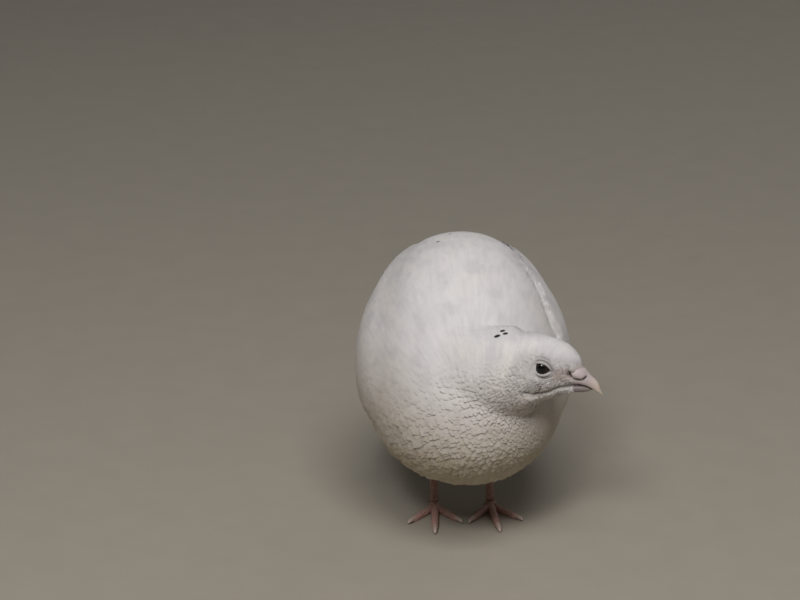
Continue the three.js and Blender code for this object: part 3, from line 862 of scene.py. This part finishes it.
def laid(roots, normals, long, yaw, lift, loose):
    """Three knots of each feather's shaft, at its root, half way and at the tip, each settled on the
    skin along the lie from the one before and raised by its share of the lift, or over the wing
    where that is higher, and pressed down at the crease of the mouth; and their normals. A feather
    that lies smooth is level at its tip, and a loose one still rises there."""
    knots, facing = [roots], [normals]
    for _ in range(2):
        way = spun(lie(knots[-1], facing[-1]), facing[-1], yaw)
        place, normal = settle(knots[-1] + way * (long / 2)[:, None])
        knots.append(place)
        facing.append(normal)
    knots, facing = np.stack(knots, 1), np.stack(facing, 1)
    flat = knots.reshape(-1, 3)
    along, _, over = torso_place(flat)
    on_quills = smooth_step(wing_cover(flat), 0, 0.6) * smooth_step(np.degrees(along), *COVER["climb"])
    climb = on_quills * np.maximum(0, COVER["high"] - over)
    pressed = 1 - 0.95 * bell(far_from_gape(flat), 0.8)
    middle = lift - (0.21 + 0.5 * loose) * (lift + 0.3)
    height = np.stack([-0.3 + 0 * lift, middle, lift], 1) * pressed.reshape(-1, 3)
    height = height + climb.reshape(-1, 3) * [0, 0.8, 1]
    return knots + facing * height[..., None], facing


def on_shafts(knots, u):
    """Points of the parabola through each feather's three knots at u, with u an array whose first
    axis is the feathers: Lagrange's weights on the knots at 0, a half and 1."""
    weights = np.stack([2 * (u - 0.5) * (u - 1), 4 * u * (1 - u), 2 * u * (u - 0.5)], -1)
    return np.einsum("ijsk,ikc->ijsc", weights, knots)


def bake_map(thing, places):
    """The map that colours are kept on, from a place for each vertex."""
    layer = thing.data.uv_layers.new(name="OFBake")
    places = np.clip(places[read(thing.data.loops, "vertex_index")], 0.001, 0.999)
    layer.uv.foreach_set("vector", places.astype(np.float32).ravel())


def plumes(name, knots, facing, wide, unwrap, fan, seed, loose, thick=0.14):
    """Feathers, each a thin closed vane: columns of barbs fan out from the root, side by side, and
    end on a rounded margin, some a little short. Across, the vane sinks to its edges by the square
    of v, and its underside runs to one line under the shaft."""
    draw = np.random.default_rng(seed)
    count, columns = len(knots), fan["columns"]
    across = np.linspace(-1, 1, columns)[None] + draw.uniform(-0.3, 0.3, (count, columns)) / columns
    frayed = (0.016 + 0.022 * loose)[:, None]
    ends = 1 - fan["round"] * across**2 + draw.normal(0, frayed, (count, columns))
    down = np.array(fan["down"])[None, :, None]
    u = down * ends[:, None]
    v = across[:, None] * np.array(fan["wide"])[None, :, None]
    half = wide[:, None, None] / 2
    shaft, up = on_shafts(knots, u), unit(on_shafts(facing, u))
    side = unit(np.cross(on_shafts(knots, u + 0.01) - shaft, up))
    sink = (0.07 + 0.1 * loose)[:, None, None] * v**2 * half
    sink = sink + draw.normal(0, 0.012, u.shape) * (1 + 1.5 * loose)[:, None, None]
    top = shaft + side * (v * half)[..., None] - up * sink[..., None]
    keel_u = np.repeat(down * 0.9, count, 0)
    keel_up = unit(on_shafts(facing, keel_u))
    points = np.concatenate([top, on_shafts(knots, keel_u) - keel_up * thick], 2)
    coat = knit(name, [points], smooth_sides=range(columns - 1))
    shaded = unit(np.cross(np.gradient(top, axis=1), np.gradient(top, axis=2)))
    shaded = shaded * np.sign((shaded * up).sum(-1))[..., None]
    shaded = unit(up + (shaded - up) * (0.4 + 0.6 * loose)[:, None, None, None])
    soften(coat, np.concatenate([shaded, keel_up], 2))
    u, v = np.concatenate([u, keel_u], 2), np.concatenate([v, 0 * keel_u], 2)
    streak = np.concatenate([draw.random((count, 1, columns)), np.full((count, 1, 1), 0.5)], 2)
    per_vertex(coat, "shade", draw.random((count, 1, 1)) * 0.6 + streak * 0.4 + 0 * u)
    per_vertex(coat, "share", u)
    face_marks(coat, points.reshape(-1, 3))
    patch = np.stack([v / 2, u - 0.5], -1) * PATCH
    bake_map(coat, (unwrap[:, None, None] + patch).reshape(-1, 2))
    return coat


def soften(coat, shaded):
    """Shades each vane by the normals given for its points, turned over on its underside, so that
    a smooth coat has the even light that barbs finer than these give it."""
    faces = coat.data.polygons
    own = np.repeat(read(faces, "normal", 3, np.float32), read(faces, "loop_total"), axis=0)
    shaded = shaded.reshape(-1, 3)[read(coat.data.loops, "vertex_index")]
    coat.data.normals_split_custom_set(shaded * np.where((shaded * own).sum(1) < 0, -1, 1)[:, None])


def feather_finish():
    """White vanes: each a little its own shade, finely grained, and greyer to the root, partly their own
    grey base and partly painted shade where the feathers above cover it.
    """
    finish = Finish("white_vanes", roughness=0.85, sheen_weight=0.1, sheen_roughness=0.5)
    shade, share = finish.attribute("shade"), finish.attribute("share")
    light = finish.between(share, -0.2, 0.75) * 0.6 + shade * 0.4
    finish.dress(white_plumage(finish, light), normal=finish.bump(finish.noise(2600, 2), 0.2, 0.0001))
    return finish


def torso_unwrap(points):
    """Round the torso and along it, by its own two angles."""
    along, around, _ = torso_place(points)
    return np.stack([around / (2 * np.pi) + 0.5, along / np.pi], 1)


def head_unwrap(points):
    """Round the head's long axis, and along it by the arc cosine of the place from nape to bill."""
    x, y, z, _ = from_head(points)
    along = np.arccos(np.clip(-(x - HEAD_BACK - HEAD["half"]) / HEAD["half"], -0.999, 0.999))
    return np.stack([np.arctan2(y, z) / (2 * np.pi) + 0.5, along / np.pi], 1)


def nearest_station(points, path):
    """Distance to the nearest of many stations down a path, and that station's number."""
    far = length(points[:, None] - through(path, STATIONS)[None])
    return far.min(1), far.argmin(1)


def path_unwrap(path):
    """Round a path and along it, each point by its nearest station."""
    line, level, upright = course(path, STATIONS)

    def places(points):
        near = nearest_station(points, path)[1]
        off = points - line[near]
        angle = np.arctan2((off * level[near]).sum(1), (off * upright[near]).sum(1))
        return np.stack([angle / (2 * np.pi) + 0.5, STATIONS[near]], 1)

    return places


def bare_places(points, normals):
    """True at the lids, the bill, the crease of the gape, where the wing's quills lie bare and at the
    ends of rump and thighs, where the lie has no way to go."""
    x, y, z, far = from_head(points)
    eye_rim = (np.hypot(x / 1.1, z) < 4) & (np.abs(y) > EYE_HOLLOW["beyond"])
    edge, long, up = patch_place(FLAP, x, z)
    front = through(BARE_FROM["front"], (z - BARE_FROM["low"]) / (BARE_FROM["high"] - BARE_FROM["low"]))
    on_flap = (edge < np.where(up < 0, 1.35, 0.95)) & (long > -0.8) & (np.abs(y) > FACE["middle_strip"])
    bare = eye_rim | (x > front) | on_flap | (far_from_gape(points) < 0.35)
    quills = (wing_cover(points) > 0.7) & (np.degrees(torso_place(points)[0]) > COVER["bare_from"])
    turned = (normals * unit(points - NECK_ROOT)).sum(1) > POLE["turned"]
    end = turned & ((points[:, 1] > POLE["rump"]) | (points[:, 2] < POLE["thigh"]))
    return (far < 22) & bare | quills | end


candidates, facing = scattered(SCATTER["count"], 11)
keep = ~bare_places(candidates, facing)
candidates, facing = candidates[keep], facing[keep]
feather_long = through(FEATHER_LONG, length(candidates - BILL_ROOT) / FLOW_TO)
keep = spaced(candidates, np.maximum(SCATTER["least_gap"], SCATTER["gap"] * feather_long))
roots, facing, feather_long = candidates[keep], facing[keep], feather_long[keep]
_, around, over = torso_place(roots)
to_thighs = [nearest_station(roots * [hand, 1, 1], THIGH["path"])[0] for hand in SIDES.values()]
on_thigh = (np.min(to_thighs, axis=0) < THIGH_FEATHERS["reach"]) & (over > -0.4)
on_thigh = on_thigh & (roots[:, 2] < THIGH_FEATHERS["below"])
on_head = (over > 2.5) & (from_head(roots)[0] > -9) & ~on_thigh
on_neck = (over > 2.5) & ~on_head & ~on_thigh & (roots[:, 1] < -12)
on_body = ~on_head & ~on_neck & ~on_thigh
turned = np.abs(np.degrees(around))
small = feather_long <= SMALL_LONG
tracts = {
    "head": (on_head & ~small, head_unwrap),
    "face": (on_head & small, head_unwrap),
    "neck": (on_neck, path_unwrap(NECK_PATH)),
    "thigh": (on_thigh, path_unwrap(THIGH["path"])),
    "back": (on_body & (turned < BACK_TO), torso_unwrap),
    "shoulder": (on_body & (turned >= BACK_TO) & (turned < SHOULDER_TO), torso_unwrap),
    "flank": (on_body & (turned >= SHOULDER_TO) & (turned < FLANK_TO), torso_unwrap),
    "belly": (on_body & (turned >= FLANK_TO), torso_unwrap),
}
white_vanes = feather_finish()
draw = np.random.default_rng(23)
for seed, (tract, (chosen, unwrap)) in enumerate(tracts.items()):
    here, normals = roots[chosen], facing[chosen]
    long = feather_long[chosen] * draw.uniform(0.9, 1.1, len(here))
    loose = looseness(here, normals)
    lift = (0.24 + 0.05 * long) * (0.75 + 0.75 * loose) * draw.normal(1, 0.02 + 0.14 * loose)
    yaw = draw.normal(0, 0.04 + 0.1 * loose)
    knots, shaft_facing = laid(here, normals, long, yaw, lift, loose)
    fan = SMALL_FAN if tract in ("head", "face") else FAN
    wide = long * (0.6 - 0.06 * loose)
    coat = plumes(tract + "_feathers", knots, shaft_facing, wide, unwrap(here), fan, 40 + seed, loose)
    complete(coat, white_vanes, "plumage")

# Wing and tail quills
# Firm white vanes, each on its own shaft. In the closed wing the flight feathers lie lengthwise
# along the flank with one row of great coverts over them; the short tail is a low roof of twelve
# feathers with coverts over its root.
WING_ROWS = {
    "flight_quills": {
        "count": 14, "wide": 4.7, "high": 1.1, "tilt": 0.8, "sink": 1,
        "root": [[100, 98, 94, 92], [50, 63, 76, 88]], "tip": [[144, 142, 150, 158], [34, 47, 60, 72]],
    },
    "great_coverts": {
        "count": 12, "wide": 4, "high": 1.6, "tilt": 0.7, "sink": 2,
        "root": [[94, 92, 90], [54, 68, 82]], "tip": [[120, 116, 113], [46, 60, 75]],
    },
}
TAIL_ROWS = {
    "tail_quills": {
        "count": 12, "start": 12, "long": 32, "wide": 3.3,
        "spread": 6.5, "high": -1.6, "lift": 2.4, "fall": 1,
    },
    "tail_coverts": {
        "count": 9, "start": 9, "long": 22, "wide": 3.1,
        "spread": 7.5, "high": 2.4, "lift": 1.8, "fall": 3,
    },
}
TAIL_FAN, TAIL_ROOF = 10, 0.03
BARB_GAP = 0.45
QUILL_ACROSS = np.array([-1, -0.7, -0.4, -0.12, 0, 0.12, 0.4, 0.7, 1])
SHAFT_HIGH = np.array([0, 0, 0, 0.02, 0.22, 0.02, 0, 0, 0])


def quill_wide(u):
    """Share of the full half width down a vane: fullest past the middle, round at the tip."""
    return np.maximum(0.1, np.sqrt(np.maximum(0, 1 - u**5)) * (0.78 + 0.22 * np.sin(np.pi * u)))


def quill_grid(stations):
    """u down the vane and v across it, for every ring: the top from edge to edge, then back below;
    and how far each point stands off the vane's middle sheet."""
    u = 1 - (1 - np.linspace(0, 1, stations)) ** 1.3
    rise = np.concatenate([0.12 + SHAFT_HIGH, -0.12 - 0.5 * SHAFT_HIGH])
    u, v = np.meshgrid(u, np.concatenate([QUILL_ACROSS, QUILL_ACROSS[::-1]]), indexing="ij")
    return u, v, rise * (1.1 - u)


def wing_quills(row, hand, seed):
    """A row of the wing: each feather's middle line runs straight in the torso's two angles from
    root to tip; across it steps sideways on the surface, and one edge lies over its neighbour."""
    draw = np.random.default_rng(seed)
    u, v, rise = quill_grid(26)
    quills, places = [], []
    for k in np.linspace(0, 1, row["count"]):
        root, tip = (np.radians([through(a, k), through(b, k)]) for a, b in (row["root"], row["tip"]))
        tip = tip + np.radians(draw.normal(0, 1, 2))
        along, around = (root[i] + (tip[i] - root[i]) * u for i in (0, 1))
        here = on_torso(along, around, 0 * u)
        back = (on_torso(along + STEP, around, 0 * u) - here) / STEP
        down = (on_torso(along, around + STEP, 0 * u) - here) / STEP
        aim = unit(here[-1:, :1] - here[:1, :1])
        side = unit(np.cross(np.cross(back, down), aim))
        ragged = 1 + 0.03 * np.sin(40 * u + 7 * k + draw.uniform(0, 6)) * np.abs(v) ** 3
        reach = v * row["wide"] * quill_wide(u) * ragged
        along = along + reach * (side * back).sum(-1) / (back**2).sum(-1)
        around = around + reach * (side * down).sum(-1) / (down**2).sum(-1)
        high = row["high"] - (1 - k) ** 3 + row["tilt"] * (v + 1) / 2 - row["sink"] * (1 - u) ** 2
        quills.append(on_torso(along, around, high - 0.3 * v**2 + rise))
        places.append(here[0, 0])
    return mirrored(np.array(quills), hand), torso_unwrap(mirrored(np.array(places), hand)), u, v


def mirrored(points, hand):
    """The left wing's points, or their mirror image through the torso's own middle plane."""
    local = (points - TORSO_AT) @ TORSO_TURN
    return (local * [hand, 1, 1]) @ TORSO_TURN.T + TORSO_AT


def tail_quills(row, seed):
    """A row of the tail: feathers fanned about the tail's axis, shingled up to the middle one and
    roofed down to the sides by the square of the distance from it."""
    draw = np.random.default_rng(seed)
    u, v, rise = quill_grid(22)
    quills, places = [], []
    for k in np.linspace(-1, 1, row["count"]):
        fan = np.radians(TAIL_FAN * k + draw.normal(0, 0.6))
        reach = v * row["wide"] * quill_wide(u)
        out = row["start"] + row["long"] * (1 - 0.16 * k * k + draw.normal(0, 0.015)) * u
        x = row["spread"] * k + np.sin(fan) * out + np.cos(fan) * reach
        y = np.cos(fan) * out - np.sin(fan) * reach
        shingle = row["lift"] * (1 - abs(k)) - np.sign(k + 0.01) * v * 0.6
        z = row["high"] + shingle - TAIL_ROOF * x * x - row["fall"] * u * u + rise
        quills.append(np.stack([x, y, z], -1) @ TAIL_TURN.T + TAIL_AT)
        places.append([k * 0.3 + 0.5, 0.2 + 0.3 * row["high"] / 4])
    return np.array(quills), np.array(places), u, v


def quill_finish():
    """Firm vane: white, a little greyer down the shaft to its root, partly its own grey base and partly
    painted shade where other feathers cover it, with fine barbs slanting from the shaft as the
    sine of the distance down less 0.9 of the distance out."""
    finish = Finish("firm_vane", roughness=0.68, sheen_weight=0.08)
    shade, share, down, out = (finish.attribute(key) for key in ("shade", "share", "down_mm", "out_mm"))
    light = finish.between(share, -0.3, 0.6) * 0.55 + shade * 0.45
    slant = (down - finish.math("ABSOLUTE", out) * 0.9) * (2 * np.pi / BARB_GAP)
    barbs = finish.bump(finish.math("SINE", slant), 0.35, 0.00008)
    finish.dress(white_plumage(finish, light), normal=barbs)
    return finish


def quill_piece(name, quills, places, u, v, wide, seed, *solids):
    """A row of quills as one piece, with the numbers that its finish reads."""
    draw = np.random.default_rng(seed)
    top_sides = len(QUILL_ACROSS) - 1
    row = knit(name, [quills], smooth_sides=[j for j in range(2 * top_sides + 1) if j != top_sides])
    full = np.zeros(quills.shape[:3])
    shaft = top_sides // 2
    long = length(quills[:, -1, shaft] - quills[:, 0, shaft])[:, None, None]
    shade = draw.random((len(quills), 1, 1))
    for key, values in {"shade": shade, "share": u, "down_mm": u * long, "out_mm": v * wide}.items():
        per_vertex(row, key, values + full)
    patch = np.stack([v / 2 + full, u - 0.5 + full], -1) * PATCH
    bake_map(row, (places[:, None, None] + patch).reshape(-1, 2))
    complete(row, firm_vane, "vanes", *solids)


firm_vane = quill_finish()
for side, hand in SIDES.items():
    for i, (name, row) in enumerate(WING_ROWS.items()):
        solids = ["wing_" + side] if name == "flight_quills" else []
        quill_piece(name + "_" + side, *wing_quills(row, hand, 70 + i), row["wide"], 80 + i, *solids)
for i, (name, row) in enumerate(TAIL_ROWS.items()):
    solids = ["tail"] if name == "tail_quills" else []
    quill_piece(name, *tail_quills(row, 90 + i), row["wide"], 95 + i, *solids)

# Legs and feet
# Bare pinkish shanks with broad scutes down the front, three toes forward and one behind with
# pads below, and blunt pale claws. The soles are flat on the floor.
SHANK = {
    "path": [[12.3, 11.5, 32], [12, 9.5, 24], [11.6, 0, 9], [11.5, -5, 3]],
    "radius": [2.3, 2, 1.6, 1.9],
    "long": 34,
}
FOOT_AT = (11.5, -5.5)
PAD = {"wide": 3, "tall": 2, "high": 1.3}
TOES = [
    {"turn": 4, "long": 21, "radius": 1.5, "claw": 3.6},
    {"turn": -34, "long": 15, "radius": 1.4, "claw": 3.2},
    {"turn": 40, "long": 15.5, "radius": 1.4, "claw": 3.2},
    {"turn": 176, "long": 8, "radius": 1.2, "claw": 2.6},
]
TOE_LINE = [(0, 1.1), (0.35, 0.8), (0.7, 0.8), (1, 0.75)]
TOE_RADIUS = np.array([1.15, 1, 0.95, 0.8])
CLAW_RADIUS = np.array([0.75, 0.6, 0.2])
CLAW_SUNK = 2.5
SCUTE = {"step": 1.5, "proud": 0.16}


def scaled_tube(path, radius, length, stations, sides, blunt=14, pads=0):
    """Tube whose upper front is stepped into scutes, each highest at its lower edge: the height is
    the square of the saw along it; pads swell the underside as the sine of the toe's joints."""
    t, angle = grid(stations, sides)
    points = tube(path, radius, stations, sides, blunt=blunt)
    saw = (t * length / SCUTE["step"]) % 1
    front = np.maximum(0, np.cos(angle)) ** 0.5
    below = np.maximum(0, -np.cos(angle))
    out = SCUTE["proud"] * saw**2 * front + 0.3 * np.abs(np.sin(t * pads * np.pi)) * below
    centre = points.mean(1, keepdims=True)
    ends = smooth_step(t, 0, 0.06) * (1 - smooth_step(t, 0.94, 1))
    return points + unit(points - centre) * (out * ends)[..., None]


def toe_lines(hand, turn, long, radius, claw):
    """Centre lines of a toe and its claw: straight out from the foot at the toe's turn, level."""
    aim = np.radians(turn) * hand

    def out(far, high):
        return [FOOT_AT[0] * hand + np.sin(aim) * far, FOOT_AT[1] - np.cos(aim) * far, high]

    toe = [out(long * far, radius * high) for far, high in TOE_LINE]
    nail = [(long - CLAW_SUNK, 0.9), (long + claw * 0.5, 0.95), (long + claw, 0.45)]
    return toe, [out(far, radius * high) for far, high in nail]


def foot_pad(hand):
    """Ball under the toes' meeting point: sines and cosines of the angle off its axis and round it."""
    t, angle = grid(24, 32)
    off = 0.02 + t * (np.pi - 0.04)
    ball = np.stack([np.sin(off) * np.sin(angle), np.sin(off) * np.cos(angle), np.cos(off)], -1)
    return ball * [PAD["wide"], PAD["wide"], PAD["tall"]] + [FOOT_AT[0] * hand, FOOT_AT[1], PAD["high"]]


def on_floor(points):
    """Nothing reaches below the floor."""
    return np.concatenate([points[..., :2], np.maximum(points[..., 2:], 0.02)], -1)


leg_skin = Finish("leg_skin", roughness=0.5)
seams = leg_skin.cells(900, 0.12)
flesh = leg_skin.mix((0.50, 0.285, 0.235, 1), (0.64, 0.40, 0.335, 1), leg_skin.noise(300, 4))
leg_skin.dress(leg_skin.mix((0.33, 0.18, 0.15, 1), flesh, seams), normal=leg_skin.bump(seams, 0.5, 0.0003))
claw_horn = Finish("claw_horn", roughness=0.35)
rings = claw_horn.noise(700)
colour = claw_horn.mix((0.42, 0.31, 0.26, 1), (0.58, 0.46, 0.39, 1), rings)
claw_horn.dress(colour, normal=claw_horn.bump(rings, 0.2, 0.0002))
for side, hand in SIDES.items():
    path = np.array(SHANK["path"]) * [hand, 1, 1]
    shank = knit("shank_scutes_" + side, [scaled_tube(path, SHANK["radius"], SHANK["long"], 140, 28)])
    complete(shank, leg_skin, "skin", "shank_" + side)
    toes, claws = [foot_pad(hand)], []
    for toe in TOES:
        line, nail = toe_lines(hand, **toe)
        toes.append(scaled_tube(line, toe["radius"] * TOE_RADIUS, toe["long"], 90, 24, 10, 3))
        claws.append(tube(nail, toe["radius"] * CLAW_RADIUS, 24, 16))
    foot = knit("toes_" + side, [on_floor(shape) for shape in toes])
    nails = knit("claws_" + side, [on_floor(shape) for shape in claws])
    complete(foot, leg_skin, "skin", "foot_" + side)
    complete(nails, claw_horn, "horn")

# Camera
# The photograph's view: nearly straight along +Y, looking down on the bird's right cheek.
PHOTO = {"azimuth": -3.5, "down": 20.8, "focal_px": 2860, "wide_px": 800, "middle_px": (400, 300)}
EYE_PX = (541, 370)
EYE_APEX = in_head([0, -EYE["side"] - EYE["radius"], 0])
DISTANCE = 1100
azimuth, down = np.radians(PHOTO["azimuth"]), np.radians(PHOTO["down"])
ahead = np.array([-np.sin(azimuth) * np.cos(down), np.cos(azimuth) * np.cos(down), -np.sin(down)])
rightward = unit(np.cross(ahead, [0, 0, 1]))
upward = np.cross(rightward, ahead)
off_x, off_y = (np.array(EYE_PX) - PHOTO["middle_px"]) / PHOTO["focal_px"]
eye_ray = ahead + rightward * off_x - upward * off_y
camera = put_in_scene("camera", bpy.data.cameras.new("camera"))
camera.data.lens = PHOTO["focal_px"] / PHOTO["wide_px"] * camera.data.sensor_width
camera.data.clip_start = 0.05
axes = np.eye(4)
axes[:3, :3] = np.stack([rightward, upward, -ahead], 1)
axes[:3, 3] = (EYE_APEX + OVER_SOLIDS - eye_ray * DISTANCE) * 0.001
camera.matrix_world = Matrix(axes.tolist())
bpy.context.scene.camera = camera

# Floor and light
# A plain pale floor under the feet, a small light in front and to the bird's right, a soft one in
# front overhead, a weak one from behind, and a dim pale surround.
FLOOR = {"radius": 2500, "thick": 2}
LIT_AT = Vector((0, 0, 0.07))
LIGHTS = {
    "front_light": {"at": (-0.35, -0.95, 1.05), "size": 0.3, "watts": 6.2, "tint": (1, 1, 1)},
    "top_light": {"at": (0.05, -0.72, 1.2), "size": 0.6, "watts": 8.4, "tint": (1, 0.99, 0.985)},
    "back_light": {"at": (0.7, 0.9, 0.8), "size": 0.6, "watts": 0.9, "tint": (1, 1, 1)},
}
SURROUND = {"Color": (0.78, 0.76, 0.74, 1), "Strength": 0.08}
t, angle = grid(2, 96)
disc = [FLOOR["radius"] * np.cos(angle), FLOOR["radius"] * np.sin(angle), FLOOR["thick"] * (t - 1)]
floor = knit("floor", [np.stack(disc, -1)])
floor_paint = Finish("pale_floor", roughness=0.9)
speck = floor_paint.noise(60, 5)
floor_paint.dress(floor_paint.mix((0.36, 0.325, 0.27, 1), (0.40, 0.36, 0.30, 1), speck))
floor.data.materials.append(floor_paint.material)
for name, light in LIGHTS.items():
    lamp = put_in_scene(name, bpy.data.lights.new(name, "AREA"))
    lamp.data.size, lamp.data.energy, lamp.data.color = light["size"], light["watts"], light["tint"]
    lamp.location = light["at"]
    lamp.rotation_euler = (LIT_AT - lamp.location).to_track_quat("-Z", "Y").to_euler()
surround = bpy.data.worlds.new("surround")
surround.use_nodes = True
for socket, value in SURROUND.items():
    surround.node_tree.nodes["Background"].inputs[socket].default_value = value
bpy.context.scene.world = surround
bpy.context.scene.view_settings.view_transform = "Standard"
